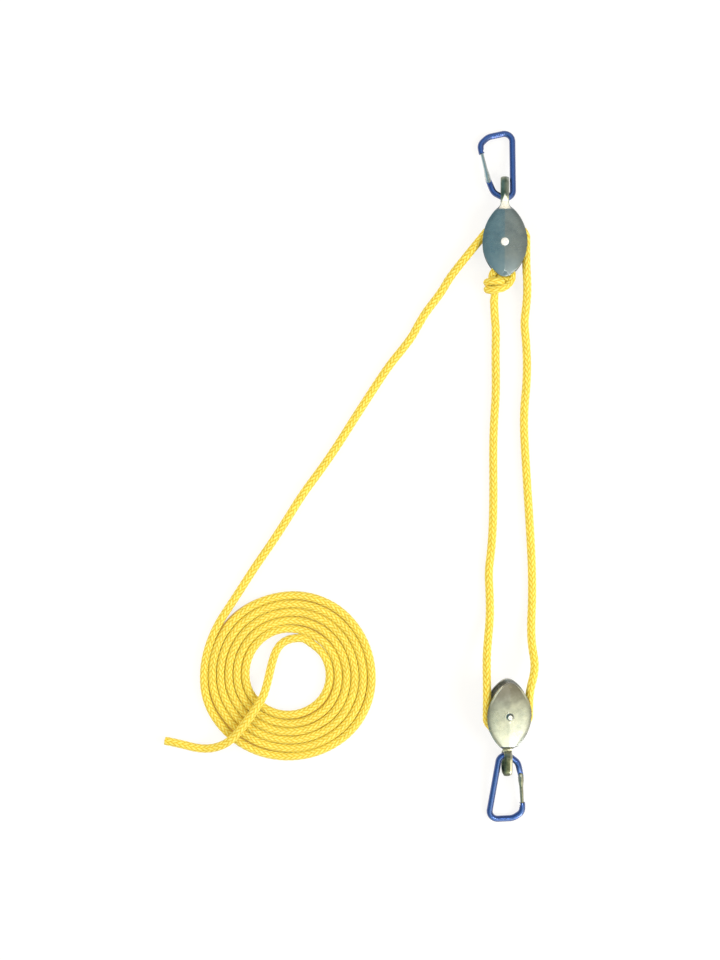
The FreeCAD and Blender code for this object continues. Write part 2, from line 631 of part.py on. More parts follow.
def build():
    """Every node's shape, placed in the object's frame."""
    shell = block_shell()
    rivet = axle_rivet()
    block_parts = {
        "shell": shell, "axle_rivet": rivet, "axle_sleeve": axle_sleeve(),
        "becket_pin": becket_pin(), "sheave": sheave(),
    }
    body, path = carabiner_body()
    frame = gate_frame()
    on_gate = {
        "gate": gate(), "gate_hinge_pin": cross_pin(HINGE_PIN_R, HINGE_PIN_HALF, 0),
        "gate_latch_pin": cross_pin(LATCH_PIN_R, LATCH_PIN_HALF, LATCH_AT),
        "gate_plunger": gate_plunger(), "gate_spring": gate_spring(),
    }
    places = block_placements(shell, rivet)
    nodes = {}
    hangs = {"upper": (UPPER_BOW_X, UPPER_CARABINER_YAW), "lower": (LOWER_BOW_X, LOWER_CARABINER_YAW)}
    for end, (bow_x, yaw) in hangs.items():
        for name, shape in block_parts.items():
            nodes[f"{end}_{name}"] = placed(shape, places[end])
        hung = carabiner_placement(places[end], bow_x, yaw, path)
        nodes[f"{end}_carabiner_body"] = placed(body, hung)
        for name, shape in on_gate.items():
            nodes[f"{end}_{name}"] = placed(shape, hung.multiply(frame))
    nodes.update(rope_nodes(places["upper"], places["lower"]))
    return nodes


def placed(shape, placement):
    """A copy of a shape moved to where it lies."""
    copy = shape.copy()
    copy.Placement = placement.multiply(copy.Placement)
    return copy


def main():
    os.makedirs("parts", exist_ok=True)
    for name, shape in build().items():
        shape.exportStep(f"parts/{name}.step")
        print(f"{name}: valid {shape.isValid()}, solids {len(shape.Solids)}, volume {shape.Volume:.1f}")


main()
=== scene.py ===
"""A demonstration tackle of two pressed-steel rope blocks, two blue spring carabiners and
one yellow braided rope, laid out flat on a white table and seen from straight above."""

import json
import math

import bpy
import numpy as np
from mathutils import Matrix, Vector


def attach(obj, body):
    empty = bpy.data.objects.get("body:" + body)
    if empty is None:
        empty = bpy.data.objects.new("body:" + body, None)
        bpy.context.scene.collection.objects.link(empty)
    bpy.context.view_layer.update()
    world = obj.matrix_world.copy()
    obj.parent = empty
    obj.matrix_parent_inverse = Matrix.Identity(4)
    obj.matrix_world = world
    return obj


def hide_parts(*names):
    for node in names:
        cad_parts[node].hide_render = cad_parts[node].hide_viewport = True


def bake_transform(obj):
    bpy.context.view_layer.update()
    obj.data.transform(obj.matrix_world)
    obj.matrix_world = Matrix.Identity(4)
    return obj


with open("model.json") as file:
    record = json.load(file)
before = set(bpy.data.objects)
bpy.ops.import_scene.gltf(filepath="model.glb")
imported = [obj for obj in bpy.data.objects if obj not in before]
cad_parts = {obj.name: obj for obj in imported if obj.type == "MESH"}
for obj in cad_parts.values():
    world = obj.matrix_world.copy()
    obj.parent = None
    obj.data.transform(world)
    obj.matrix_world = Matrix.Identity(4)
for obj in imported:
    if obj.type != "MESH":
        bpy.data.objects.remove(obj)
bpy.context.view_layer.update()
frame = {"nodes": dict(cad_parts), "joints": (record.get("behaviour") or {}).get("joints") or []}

MM = 0.001
JOINTS = {joint["name"]: joint for joint in frame["joints"]}

# ---------------------------------------------------------------- rope route, in mm and degrees
ROPE_D = 7.0
PITCH_R = 18.6             # centre line of the rope in a sheave's groove
KNOT_END = (-9.3, 155.4, 7.4)
LEFT_FALL = [
    (-8.4, 139.0, 4.6), (-7.1, 128.5, 3.5), (-7.6, 109.2, 3.5), (-7.3, 89.8, 3.5),
    (-7.3, 70.5, 3.5), (-8.7, 51.2, 3.5), (-9.5, 31.9, 3.5), (-9.6, 12.6, 3.5),
    (-9.4, -6.7, 3.5), (-9.5, -26.0, 3.5), (-10.0, -45.3, 3.5), (-11.3, -64.6, 3.5),
    (-13.8, -84.0, 3.5), (-12.7, -103.3, 3.5), (-12.5, -122.6, 5.0), (-14.6, -141.9, 9.6),
    (-16.4, -158.0, 15.0),
]
RIGHT_FALL = [
    (26.7, -167.0, 14.4), (23.4, -146.0, 8.6), (23.5, -128.0, 5.2), (24.4, -113.8, 3.5),
    (24.6, -94.5, 3.5), (24.2, -75.2, 3.5), (23.2, -55.9, 3.5), (22.1, -36.6, 3.5),
    (20.8, -17.2, 3.5), (19.6, 2.1, 3.5), (18.4, 21.4, 3.5), (17.4, 40.7, 3.5),
    (17.6, 60.0, 3.5), (19.6, 79.3, 3.5), (20.2, 98.6, 3.5), (19.3, 117.9, 3.5),
    (17.5, 135.0, 4.0), (19.2, 148.0, 5.0), (20.3, 164.0, 6.4),
]
LEAD = [
    (-47.8, 174.6, 5.2), (-53.8, 163.6, 4.4), (-61.7, 153.0, 3.8), (-69.2, 143.4, 3.5),
    (-75.8, 132.0, 3.5), (-81.0, 122.3, 3.5), (-89.7, 110.9, 3.5), (-97.7, 101.3, 3.5),
    (-106.0, 89.8, 3.5), (-119.7, 68.8, 3.5), (-133.3, 47.7, 3.5), (-146.5, 26.6, 3.5),
    (-161.0, 5.6, 3.5), (-176.8, -15.5, 3.5), (-189.8, -36.6, 3.5), (-203.3, -57.6, 3.5),
    (-218.1, -78.7, 3.5), (-231.6, -99.8, 3.5),
]
TAIL = [
    (-182.8, -141.9, 3.5), (-189.8, -143.2, 3.5), (-195.9, -147.0, 3.5), (-200.1, -152.8, 3.5),
    (-203.0, -160.8, 3.5), (-205.4, -170.6, 4.6), (-207.9, -182.2, 8.6), (-211.5, -194.1, 11.2),
    (-225.5, -214.6, 11.3), (-239.4, -231.4, 11.4), (-254.1, -238.4, 6.0), (-268.3, -239.0, 3.5),
    (-283.8, -234.8, 3.5), (-297.7, -232.0, 3.5),
]
SHEAVE_LEAVE = 19.0        # straight rope beyond a sheave
UPPER_WRAP = 3             # control points over the upper sheave
UPPER_SPLIT = 2            # so many of them are the falls', the rest the hauling part's
LOWER_WRAP = 4
LEAD_RUN_IN = 30.0         # straight rope into the coil
COIL_CENTRE = (-188.0, -172.9)
COIL_START_R = 74.95
COIL_PITCH = 7.2
COIL_START = 150.0
COIL_END = 2216.0
COIL_STEPS = 86
COIL_SLACK = [             # where the turns lie off the spiral: angle, spread and mm outwards
    (204.0, 20.0, 3.1), (235.0, 15.0, 1.4), (330.0, 32.0, 2.1), (425.0, 20.0, 0.6),
    (460.0, 24.0, -1.0), (560.0, 26.0, 1.8), (685.0, 34.0, 1.9), (820.0, 26.0, -0.9),
    (920.0, 26.0, 1.7), (1045.0, 34.0, 1.8), (1180.0, 26.0, -0.9), (1280.0, 26.0, 1.6),
    (1405.0, 34.0, 1.7), (1540.0, 26.0, -1.0), (1640.0, 26.0, 1.5), (1765.0, 34.0, 1.3),
    (1505.0, 30.0, -0.4), (1868.0, 30.0, -1.5), (2000.0, 26.0, 1.3), (2085.0, 20.0, -0.5),
    (2125.0, 28.0, 0.4), (2195.0, 20.0, -0.3),
]
TAIL_INSET = 1.1           # the tail leaves the innermost turn this much nearer the centre
TAIL_RUN_OUT = 7.4         # straight rope before the tail's first bend
KNOT_LINE = [
    (-8.9, 152.4, 6.6), (-8.9, 157.5, 8.0), (-8.8, 163.0, 9.6), (-9.4, 169.0, 9.8),
    (-11.8, 175.2, 9.6), (-7.0, 182.2, 9.7), (2.6, 182.6, 10.1), (6.5, 177.6, 10.3),
    (6.0, 171.8, 10.4), (2.2, 166.8, 11.6), (-3.4, 163.4, 15.7), (-13.2, 162.2, 15.0),
    (-15.7, 163.9, 7.4), (-12.6, 163.2, 3.7), (-4.6, 164.8, 3.7), (-1.9, 167.6, 8.2),
    (-3.8, 170.0, 15.9), (-12.4, 170.0, 15.3), (-16.0, 169.4, 8.0), (-13.2, 170.2, 3.7),
    (-8.6, 172.4, 5.0), (-5.6, 174.4, 7.4), (-2.0, 173.4, 9.6), (1.4, 171.8, 10.0),
    (3.4, 171.8, 11.0),
]

# How the blocks lie
UPPER_ROLL = -4.0
LOWER_YAW = 2.0
LOWER_ROLL = 7.0
LOWER_PITCH = 14.0


def rotation(degrees, axis):
    """Turn about one of the main axes."""
    return Matrix.Rotation(math.radians(degrees), 3, axis)


BLOCK_TURNS = {
    "upper": rotation(UPPER_ROLL, "Y"),
    "lower": (rotation(LOWER_YAW, "Z") @ rotation(LOWER_ROLL, "Y")
              @ rotation(LOWER_PITCH, "X") @ rotation(180.0, "Z")),
}


def block_frame(name):
    """Centre of a block's axle in mm, and its own axes: x across it, y towards its eye."""
    return Vector(JOINTS[name + "_sheave_spin"]["pos_m"]) / MM, BLOCK_TURNS[name]


def sheave_point(name, angle, beyond=0.0, radius=PITCH_R):
    """A point of the rope's line at an angle round a sheave, or beyond it along the tangent."""
    centre, turn = block_frame(name)
    a = math.radians(angle)
    local = Vector((radius * math.cos(a) - beyond * math.sin(a),
                    radius * math.sin(a) + beyond * math.cos(a), 0.0))
    return tuple(centre + turn @ local)


def wrap(name, start, end, count):
    """Control points round a sheave, one in the middle of each equal step."""
    step = (end - start) / count
    radius = PITCH_R / math.cos(math.radians(step / 2))
    return [sheave_point(name, start + (i + 0.5) * step, 0.0, radius) for i in range(count)]


def coil_radius(angle):
    """Radius of the even spiral at an angle counted on from its outer start."""
    return COIL_START_R - COIL_PITCH * (angle - COIL_START) / 360.0


def coil_point(angle, offset=0.0):
    """A point of the coil's line, an offset outwards from the even spiral."""
    r = coil_radius(angle) + offset
    a = math.radians(angle)
    return Vector((COIL_CENTRE[0] + r * math.cos(a), COIL_CENTRE[1] + r * math.sin(a), ROPE_D / 2))


def coil_heading(angle):
    """Unit vector along the rope as it runs round the coil."""
    a = math.radians(angle + 90.0)
    return Vector((math.cos(a), math.sin(a), 0.0))


def lead_angle():
    """Where the lead leaves the upper sheave, in degrees round it."""
    centre, turn = block_frame("upper")
    away = turn.inverted() @ (Vector(LEAD[0]) - centre)
    reach = math.hypot(away.x, away.y)
    return math.degrees(math.atan2(away.y, away.x) - math.acos(PITCH_R / reach)) % 360.0


def over_upper_sheave():
    """Where the lead leaves the upper sheave, the control points up to there, and the point on
    it where the falls end and the hauling part starts."""
    leave = lead_angle()
    split = sheave_point("upper", leave * UPPER_SPLIT / UPPER_WRAP)
    return leave, wrap("upper", 0.0, leave, UPPER_WRAP), split


def route_of_falls():
    """Control points from the knot round the lower sheave to the top of the upper one."""
    over, split = over_upper_sheave()[1:]
    points = [KNOT_END] + LEFT_FALL
    points += [sheave_point("lower", 0.0, -SHEAVE_LEAVE), sheave_point("lower", 0.0)]
    points += wrap("lower", 0.0, 180.0, LOWER_WRAP)
    points += [sheave_point("lower", 180.0), sheave_point("lower", 180.0, SHEAVE_LEAVE)]
    points += RIGHT_FALL + [sheave_point("upper", 0.0, -SHEAVE_LEAVE), sheave_point("upper", 0.0)]
    return points + over[:UPPER_SPLIT] + [split]


def route_of_hauling():
    """Control points from the top of the upper sheave through the coil to the bare end."""
    leave, over, split = over_upper_sheave()
    points = [split] + over[UPPER_SPLIT:] + [sheave_point("upper", leave, SHEAVE_LEAVE)] + LEAD
    points.append(tuple(coil_point(COIL_START) - coil_heading(COIL_START) * LEAD_RUN_IN))
    step = (COIL_END - COIL_START) / COIL_STEPS
    bulge = 1.0 / math.cos(math.radians(step / 2)) - 1.0
    for i in range(COIL_STEPS):
        angle = COIL_START + i * step
        slack = sum(most * math.exp(-((angle - at) / spread) ** 2)
                    for at, spread, most in COIL_SLACK)
        points.append(tuple(coil_point(angle, coil_radius(angle) * bulge + slack)))
    off = coil_point(COIL_END, -TAIL_INSET)
    points += [tuple(off), tuple(off + coil_heading(COIL_END) * TAIL_RUN_OUT)]
    return points + TAIL


# ---------------------------------------------------------------- rope mesh, in mm
SPLINE_RESOLUTION = 24     # points of the fine line per control point
SAME_POINT = 1e-9          # metres
ROUND_VERTS = 32
PICK = 5.1                 # spacing of the strands' visible lengths along the rope
STRANDS = 8                # each way round
STRAND_RELIEF = 0.30
CROWN_POWER = 0.7          # how round a strand is across its crown
DIVE_POWER = 4             # how suddenly it dives under the next one
CROWN_R = 3.68             # over the strands' crowns, which the eye takes as the rope's edge
KNOT_CROWN_R = 3.5         # pulled tight
TWIST_LENGTH = 900.0       # the braid turns once round the rope in this length
END_BULGE = 0.6            # how far the middle of a cut end stands out
FALLS_STEP = 0.8           # spacing of the rings
HAULING_STEP = 0.85
KNOT_STEP = 0.7


def smooth_line(points):
    """The route's NURBS spline as a fine chain of points in metres."""
    curve = bpy.data.curves.new("route", "CURVE")
    curve.dimensions = "3D"
    spline = curve.splines.new("NURBS")
    spline.points.add(len(points) - 1)
    for point, place in zip(spline.points, points):
        point.co = (place[0] * MM, place[1] * MM, place[2] * MM, 1.0)
    spline.order_u = 3
    spline.use_endpoint_u = True
    spline.resolution_u = SPLINE_RESOLUTION
    holder = bpy.data.objects.new("route", curve)
    mesh = bpy.data.meshes.new_from_object(holder)
    line = np.array([v.co for v in mesh.vertices], float)
    bpy.data.objects.remove(holder)
    bpy.data.meshes.remove(mesh)
    bpy.data.curves.remove(curve)
    return line


def gaps_of(line):
    """Distance from each point of a line to the next."""
    return np.linalg.norm(np.diff(line, axis=0), axis=1)


def even_line(line, step):
    """The same line with its points an even step apart, and how far along it each one is."""
    line = line[np.concatenate([[True], gaps_of(line) > SAME_POINT])]
    run = np.concatenate([[0.0], np.cumsum(gaps_of(line))])
    count = int(round(run[-1] / step))
    at = np.linspace(0.0, run[-1], count + 1)
    return np.stack([np.interp(at, run, line[:, k]) for k in range(3)], axis=1), at


def carried_frames(line):
    """Tangent and two normals at each point, carried along without twist from a start that
    isn't upright."""
    tangent = np.gradient(line, axis=0)
    tangent /= np.linalg.norm(tangent, axis=1)[:, None]
    sides = np.empty_like(line)
    side = np.cross(tangent[0], [0.0, 0.0, 1.0])
    sides[0] = side / np.linalg.norm(side)
    for i in range(1, len(line)):
        side = sides[i - 1] - tangent[i] * np.dot(sides[i - 1], tangent[i])
        sides[i] = side / np.linalg.norm(side)
    return tangent, sides, np.cross(tangent, sides)


def braid_height(around, along):
    """0 between the strands of the braid and 1 on the crown of a strand's visible length."""
    a = STRANDS * around - along
    b = STRANDS * around + along
    turn = np.mod(np.floor(a) + np.floor(b), 4)
    over = turn < 2
    fa, fb = a - np.floor(a), b - np.floor(b)
    across = np.where(over, fa, fb)
    length = np.where(over, (fb + turn) / 2, (fa + turn - 2) / 2)
    crown = 1 - (2 * across - 1) ** 2
    return crown ** CROWN_POWER * (1 - (2 * length - 1) ** DIVE_POWER)


def tube_faces(rings):
    """Quads between the rings, then the fans that close both ends round the two last points."""
    i = np.arange(rings - 1)[:, None] * ROUND_VERTS
    k = np.arange(ROUND_VERTS)[None, :]
    following = (k + 1) % ROUND_VERTS
    further = i + ROUND_VERTS
    quads = np.stack([i + k, i + following, further + following, further + k], axis=-1)
    faces = quads.reshape(-1, 4).tolist()
    start, end = rings * ROUND_VERTS, rings * ROUND_VERTS + 1
    last = (rings - 1) * ROUND_VERTS
    for j in range(ROUND_VERTS):
        n = (j + 1) % ROUND_VERTS
        faces.append([start, n, j])
        faces.append([end, last + j, last + n])
    return faces


def tube_uv(twist, pick):
    """UV of every corner of those faces, from each ring's turn and its place along the braid."""
    ring = np.repeat(np.arange(len(pick) - 1), ROUND_VERTS)
    k = np.tile(np.arange(ROUND_VERTS), len(pick) - 1)
    quads = np.stack([
        np.stack([(k + right) / ROUND_VERTS + twist[ring + up], pick[ring + up]], axis=-1)
        for right, up in ((0, 0), (1, 0), (1, 1), (0, 1))
    ], axis=1)
    fans = []
    for j in range(ROUND_VERTS):
        here, there = j / ROUND_VERTS, (j + 1) / ROUND_VERTS
        fans += [(here, pick[0]), (there, pick[0]), (here, pick[0])]
        fans += [(here, pick[-1]), (here, pick[-1]), (there, pick[-1])]
    return np.vstack([quads.reshape(-1, 2), np.array(fans)])


def rope_tube(name, line, step, radius=CROWN_R):
    """A braided tube along a line in metres, closed at both ends, with a UV map that runs
    once round the rope in U and by the pick along it in V; and its centre line."""
    path, at = even_line(line, step * MM)
    tangent, side, up = carried_frames(path)
    around = np.arange(ROUND_VERTS)[None, :] / ROUND_VERTS
    twist = at / MM / TWIST_LENGTH
    pick = at / MM / PICK
    height = braid_height(around + twist[:, None], pick[:, None])
    r = (radius - STRAND_RELIEF * (1 - height)) * MM
    angle = 2 * math.pi * around
    co = (path[:, None, :] + side[:, None, :] * (r * np.cos(angle))[:, :, None]
          + up[:, None, :] * (r * np.sin(angle))[:, :, None])
    bulge = END_BULGE * MM
    ends = np.array([path[0] - tangent[0] * bulge, path[-1] + tangent[-1] * bulge])
    mesh = bpy.data.meshes.new(name)
    mesh.from_pydata(np.vstack([co.reshape(-1, 3), ends]).tolist(), [], tube_faces(len(path)))
    uv = mesh.uv_layers.new(name="braid")
    uv.data.foreach_set("uv", tube_uv(twist, pick).astype(np.float32).ravel())
    mesh.polygons.foreach_set("use_smooth", np.ones(len(mesh.polygons), bool))
    mesh.update()
    piece = bpy.data.objects.new(name, mesh)
    bpy.context.scene.collection.objects.link(piece)
    return piece, path


# ---------------------------------------------------------------- materials
MIX_FIRST, MIX_SECOND, MIX_RESULT = 6, 7, 2      # a Mix node's colour sockets
WHITE = (1.0, 1.0, 1.0)


class Nodes:
    """Small helper that builds the node tree of a material or a world. Values are numbers,
    vectors, colours or sockets, and what comes back is a socket."""

    def __init__(self, owner, shader="Principled BSDF"):
        owner.use_nodes = True
        self.owner = owner
        self.tree = owner.node_tree
        self.shader = self.tree.nodes[shader]

    def add(self, kind, **values):
        """A bare node, for what the other helpers don't make."""
        node = self.tree.nodes.new(kind)
        for key, value in values.items():
            setattr(node, key, value)
        return node

    def put(self, value, socket):
        if hasattr(value, "is_output"):
            self.tree.links.new(value, socket)
        elif socket.type == "RGBA":
            socket.default_value = (*value, 1.0)
        else:
            socket.default_value = value

    def math(self, operation, *values):
        node = self.add("ShaderNodeMath", operation=operation)
        for value, socket in zip(values, node.inputs):
            self.put(value, socket)
        return node.outputs[0]

    def vary(self, level, value, share):
        """The level, raised or lowered by a share of how far the value is from its middle."""
        swing = self.math("MULTIPLY", self.math("SUBTRACT", value, 0.5), share)
        return self.math("ADD", level, swing)

    def vector(self, operation, first, second, output="Vector"):
        node = self.add("ShaderNodeVectorMath", operation=operation)
        self.put(first, node.inputs[0])
        self.put(second, node.inputs[1])
        return node.outputs[output]

    def split(self, vector):
        """The X, Y and Z of a vector."""
        node = self.add("ShaderNodeSeparateXYZ")
        self.put(vector, node.inputs[0])
        return tuple(node.outputs)

    def mix(self, share, first, second):
        node = self.add("ShaderNodeMix", data_type="RGBA")
        self.put(share, node.inputs["Factor"])
        self.put(first, node.inputs[MIX_FIRST])
        self.put(second, node.inputs[MIX_SECOND])
        return node.outputs[MIX_RESULT]

    def shade(self, colour, level):
        """The colour made lighter or darker by a level that may vary."""
        node = self.add("ShaderNodeVectorMath", operation="SCALE")
        self.put(colour, node.inputs[0])
        self.put(level, node.inputs["Scale"])
        return node.outputs[0]

    def ramp(self, value, stops):
        node = self.add("ShaderNodeValToRGB")
        elements = node.color_ramp.elements
        while len(elements) < len(stops):
            elements.new(0.5)
        for element, (place, colour) in zip(elements, stops):
            element.position = place
            element.color = (*colour, 1.0)
        self.put(value, node.inputs[0])
        return node.outputs[0]

    def place(self):
        return self.add("ShaderNodeTexCoord").outputs["Object"]

    def stretched(self, *scale):
        node = self.add("ShaderNodeMapping")
        self.put(self.place(), node.inputs[0])
        node.inputs["Scale"].default_value = scale
        return node.outputs[0]

    def noise(self, where, scale, detail=2.0, roughness=0.5):
        node = self.add("ShaderNodeTexNoise")
        self.put(where, node.inputs["Vector"])
        node.inputs["Scale"].default_value = scale
        node.inputs["Detail"].default_value = detail
        node.inputs["Roughness"].default_value = roughness
        return node.outputs["Fac"]

    def step(self, value, start, end):
        """0 before start, 1 after end and smooth between them."""
        node = self.add("ShaderNodeMapRange", interpolation_type="SMOOTHSTEP")
        self.put(value, node.inputs["Value"])
        node.inputs["From Min"].default_value = start
        node.inputs["From Max"].default_value = end
        return node.outputs[0]

    def bump(self, height, strength, distance, under=None):
        node = self.add("ShaderNodeBump")
        node.inputs["Strength"].default_value = strength
        node.inputs["Distance"].default_value = distance
        self.put(height, node.inputs["Height"])
        if under is not None:
            self.put(under, node.inputs["Normal"])
        return node.outputs[0]

    def finish(self, colour, roughness, normal, **plain):
        """The material with its colour, roughness and normal, and plain values for the rest."""
        self.put(colour, self.shader.inputs["Base Color"])
        self.put(roughness, self.shader.inputs["Roughness"])
        self.put(normal, self.shader.inputs["Normal"])
        for key, value in plain.items():
            self.put(value, self.shader.inputs[key.replace("_", " ")])
        return self.owner


ROPE_LIGHT_AND_SHADE = [             # painted light and shade: orange-brown shade between the strands, rising through the rope's yellow to a paler highlight on the crowns
    (0.0, (0.66, 0.33, 0.014)), (0.15, (0.83, 0.54, 0.035)), (0.40, (0.90, 0.71, 0.080)),
    (0.80, (0.92, 0.80, 0.140)), (1.0, (0.94, 0.87, 0.240)),
]
YARNS = 3                  # across a strand
OTHER_WAY = 0.37           # sets the strands of the other way apart in the random tones
STRAND_LEVEL = (0.90, 0.10)      # darkest strand's level and how much lighter the palest is
FIBRE_TONE = 0.22
PATCH_TONE = 0.10
YARN_TONE = 0.025
YARN_RELIEF = 0.07
FIBRE_RELIEF = 0.12


def rope_material():
    """Yellow polypropylene braid, coloured with painted light and shade: orange-brown shade between
    the strands and a paler highlight on the crowns. Its height is braid_height again, without the
    crown's power."""
    n = Nodes(bpy.data.materials.new("yellow_braid"))
    u, along, _ = n.split(n.add("ShaderNodeUVMap", uv_map="braid").outputs[0])
    around = n.math("MULTIPLY", u, float(STRANDS))
    a = n.math("SUBTRACT", around, along)
    b = n.math("ADD", around, along)
    ia, ib = n.math("FLOOR", a), n.math("FLOOR", b)
    fa, fb = n.math("FRACT", a), n.math("FRACT", b)
    turn = n.math("FLOORED_MODULO", n.math("ADD", ia, ib), 4.0)
    over = n.math("LESS_THAN", turn, 1.5)
    under = n.math("SUBTRACT", 1.0, over)

    def of_way(one, other):
        """The value of whichever strand lies on top."""
        return n.math("ADD", n.math("MULTIPLY", one, over), n.math("MULTIPLY", other, under))

    across = of_way(fa, fb)
    length = of_way(n.math("MULTIPLY", n.math("ADD", fb, turn), 0.5),
                    n.math("MULTIPLY", n.math("ADD", fa, n.math("SUBTRACT", turn, 2.0)), 0.5))
    from_middle = n.math("SUBTRACT", n.math("MULTIPLY", across, 2.0), 1.0)
    crown = n.math("SUBTRACT", 1.0, n.math("MULTIPLY", from_middle, from_middle))
    from_centre = n.math("ABSOLUTE", n.math("SUBTRACT", n.math("MULTIPLY", length, 2.0), 1.0))
    dive = n.math("SUBTRACT", 1.0, n.math("POWER", from_centre, float(DIVE_POWER)))
    height = n.math("MULTIPLY", crown, dive)
    yarns = n.math("SINE", n.math("MULTIPLY", across, 2 * math.pi * YARNS))
    pair = n.add("ShaderNodeCombineXYZ")
    n.put(of_way(ia, n.math("ADD", ib, OTHER_WAY)), pair.inputs[0])
    n.put(turn, pair.inputs[1])
    random = n.add("ShaderNodeTexWhiteNoise", noise_dimensions="2D")
    n.put(pair.outputs[0], random.inputs["Vector"])
    fibre = n.noise(n.stretched(900.0, 900.0, 900.0), scale=1.0, detail=3.0, roughness=0.6)
    patches = n.noise(n.place(), scale=26.0)
    darkest, lighter = STRAND_LEVEL
    level = n.math("ADD", darkest, n.math("MULTIPLY", random.outputs["Value"], lighter))
    level = n.vary(level, fibre, FIBRE_TONE)
    level = n.vary(level, patches, PATCH_TONE)
    level = n.math("ADD", level, n.math("MULTIPLY", yarns, YARN_TONE))
    # painted light and shade: the colour follows the height of the braid
    colour = n.shade(n.ramp(height, ROPE_LIGHT_AND_SHADE), level)
    relief = n.math("ADD", height, n.math("MULTIPLY", yarns, YARN_RELIEF))
    relief = n.math("ADD", relief, n.math("MULTIPLY", fibre, FIBRE_RELIEF))
    normal = n.bump(relief, strength=0.38, distance=0.0005)
    return n.finish(colour, 0.58, normal, Sheen_Weight=0.12, Sheen_Roughness=0.45,
                    Specular_IOR_Level=0.28)


PATCH_SCALE = 130.0        # per metre, as are the next three
CRYSTAL_SCALE = 420.0
RUB_SCALE = (260.0, 2600.0, 2600.0)
GRIT_SCALE = 2200.0
PATCH_CONTRAST = (1.6, -0.3)
CRYSTAL_LEVEL = (0.09, 0.93)
RUB_TONE = 0.10
PATCH_ROUGHNESS = 0.08
CRYSTAL_ROUGHNESS = 0.04


def zinc_material(name, dark, light, rough=0.22, grain=1.0, metal=1.0, wear=None, block=None):
    """Zinc-plated steel with soft patches, fine crystals and faint rubbed lines."""
    n = Nodes(bpy.data.materials.new(name))
    where = n.place()
    patches = n.noise(where, scale=PATCH_SCALE * grain, detail=3.0, roughness=0.6)
    crystals = n.add("ShaderNodeTexVoronoi")
    n.put(where, crystals.inputs["Vector"])
    n.put(CRYSTAL_SCALE * grain, crystals.inputs["Scale"])
    split = n.add("ShaderNodeSeparateColor")
    n.put(crystals.outputs["Color"], split.inputs[0])
    tone, polish = split.outputs[:2]
    rubbed = n.noise(n.stretched(*RUB_SCALE), scale=1.0, detail=2.0, roughness=0.7)
    grit = n.noise(where, scale=GRIT_SCALE, detail=2.0, roughness=0.6)
    colour = n.mix(n.math("MULTIPLY_ADD", patches, *PATCH_CONTRAST), dark, light)
    level = n.math("MULTIPLY_ADD", tone, *CRYSTAL_LEVEL)
    colour = n.shade(colour, n.vary(level, rubbed, RUB_TONE))
    roughness = n.math("ADD", rough, n.math("MULTIPLY", patches, PATCH_ROUGHNESS))
    roughness = n.math("ADD", roughness, n.math("MULTIPLY", polish, CRYSTAL_ROUGHNESS))
    if wear:
        colour, roughness, metal = wear(n, where, colour, roughness, patches, block)
    normal = n.bump(grit, strength=0.05, distance=0.0002)
    normal = n.bump(patches, strength=0.10, distance=0.0006, under=normal)
    n.put(metal, n.shader.inputs["Metallic"])
    return n.finish(colour, roughness, normal)


def block_axis(n, where, block, axis):
    """The place along one of a block's own axes, in mm from its axle."""
    centre, turn = block_frame(block)
    direction = turn @ Vector(axis)
    along = n.vector("DOT_PRODUCT", where, tuple(direction), "Value")
    return n.math("MULTIPLY_ADD", along, 1.0 / MM, -direction.dot(centre))


SHELL_DARK = (0.37, 0.41, 0.42)
SHELL_LIGHT = (0.60, 0.61, 0.57)
# Per block. The edge and brink shares are painted shade, the bright share is a painted highlight,
# and the stain darkens the tail partly as a stain and partly as painted shade. The eye's and neck's
# dark colours are painted shade. The rubbed colour is a painted highlight on one flank of the eye
# and a painted reflection on the fold below it.
SHELL_WEAR = {
    "upper": {
        "flank": 1.0, "flank_highlight_share": 0.22, "fold_reflection_share": 1.0, "rubbed": (0.95, 0.94, 0.88),
        "stain_and_shade": (0.50, 0.60, 0.66), "stain_and_shade_share": 0.5, "edge_shade_share": 0.25, "brink_shade_share": 0.0,
        "far_grey": 0.0, "highlight_share": 0.0,
        "neck_dark": (0.30, 0.33, 0.30), "neck_light": (0.52, 0.54, 0.48),
        "dark": (0.13, 0.16, 0.11), "light": (0.36, 0.39, 0.30),
    },
    "lower": {
        "flank": -1.0, "flank_highlight_share": 0.90, "fold_reflection_share": 0.0, "rubbed": (0.64, 0.62, 0.48),
        "stain_and_shade": (0.19, 0.17, 0.13), "stain_and_shade_share": 0.9, "edge_shade_share": 0.36, "brink_shade_share": 0.40,
        "far_grey": 0.45, "highlight_share": 0.8,
        "neck_dark": (0.27, 0.27, 0.20), "neck_light": (0.58, 0.57, 0.44),
        "dark": (0.045, 0.060, 0.040), "light": (0.19, 0.20, 0.13),
    },
}
# A cheek seen along the axle, in mm from the axle
RIM_HALF = 19.4
RIM_REACH = 34.0           # where its two sides would meet
# Where smooth steps start and end: shares of the cheek's half width
# painted shade darkens the edges and the dark brink; a painted highlight brightens the bright brink
SHADED_EDGE = (0.62, 1.0)
SHADED_BRINK = (0.84, 0.98)
HIGHLIGHT_BRINK = (0.86, 0.94)
# and mm from the axle: along the block, upwards, or across it where the name says so
# the tail's stain is partly painted shade
STAINED_AND_SHADED_TAIL = (-2.0, -26.0)
NEAR_CHEEK = (-4.0, 4.0)
# painted highlight on one flank of the eye, and painted shade on the rest of the eye and on the
# neck
FLANK_ACROSS = (0.9, 1.9)
FLANK_ALONG = (34.0, 37.0)
NECK_END = (35.0, 39.0)
EYE_START = (28.6, 29.6)
# The fold below the eye is a bright wedge of painted reflection: half width per mm from its tip,
# place of the tip, and how soft its sides are
FOLD_SLOPE = 0.42
FOLD_TIP = 42.0
FOLD_SIDES = (-0.4, 0.6)
UNEVEN = 4.0               # mm between the limits of a zone in its pale and its dark patches
STAIN_UNEVEN = 4.0         # times as much at the stain
EYE_UNEVEN = 0.3
